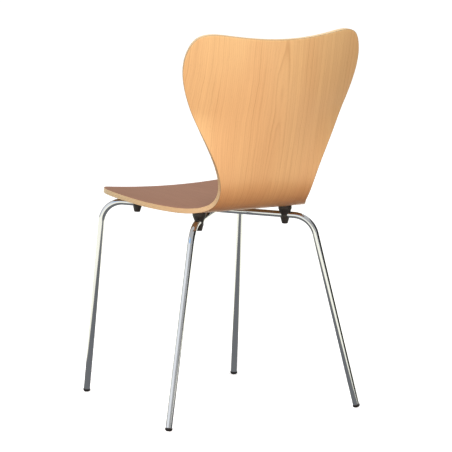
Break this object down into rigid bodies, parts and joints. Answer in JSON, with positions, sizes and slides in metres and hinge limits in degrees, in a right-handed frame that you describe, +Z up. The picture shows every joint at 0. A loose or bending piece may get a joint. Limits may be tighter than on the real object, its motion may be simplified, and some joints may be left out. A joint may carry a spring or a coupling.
{
  "type": "stacking chair",
  "caption": "Stacking chair: a pressed plywood seat and back in one waisted shell on crossed chromed tube legs with black supports and glides.",
  "frame": {"origin": "on the floor under the middle of the chair's overall box", "axes": "+Z up, the sitter faces -Y, +X is the sitter's left"},
  "size_m": [0.4806, 0.54, 0.8256],
  "materials": {
    "brown_veneer": "satin lacquer",
    "pale_veneer": "satin lacquer",
    "core_wood": "sanded and lacquered edge",
    "chrome_tube": "bright chrome plate",
    "zinc_steel": "zinc plate",
    "black_plastic": "moulded, fine grain"
  },
  "bodies": {
    "root": {"inner_face_veneer": "brown_veneer", "core_ply_1": "core_wood", "core_ply_2": "core_wood", "core_ply_3": "core_wood", "core_ply_4": "core_wood", "core_ply_5": "core_wood", "core_ply_6": "core_wood", "core_ply_7": "core_wood", "outer_face_veneer": "pale_veneer", "through_leg_tube": "chrome_tube", "front_right_leg_tube": "chrome_tube", "rear_left_leg_tube": "chrome_tube", "hub_plate": "chrome_tube", "weld_beads": "chrome_tube", "hub_pad": "black_plastic", "hub_screws": "zinc_steel", "support_screws": "zinc_steel", "hub_t_nuts": "zinc_steel", "support_t_nuts": "zinc_steel", "front_left_saddle": "black_plastic", "front_left_bumper": "black_plastic", "front_left_glide": "black_plastic", "front_right_saddle": "black_plastic", "front_right_bumper": "black_plastic", "front_right_glide": "black_plastic", "rear_left_saddle": "black_plastic", "rear_left_bumper": "black_plastic", "rear_left_glide": "black_plastic", "rear_right_saddle": "black_plastic", "rear_right_bumper": "black_plastic", "rear_right_glide": "black_plastic"}
  },
  "joints": []
}
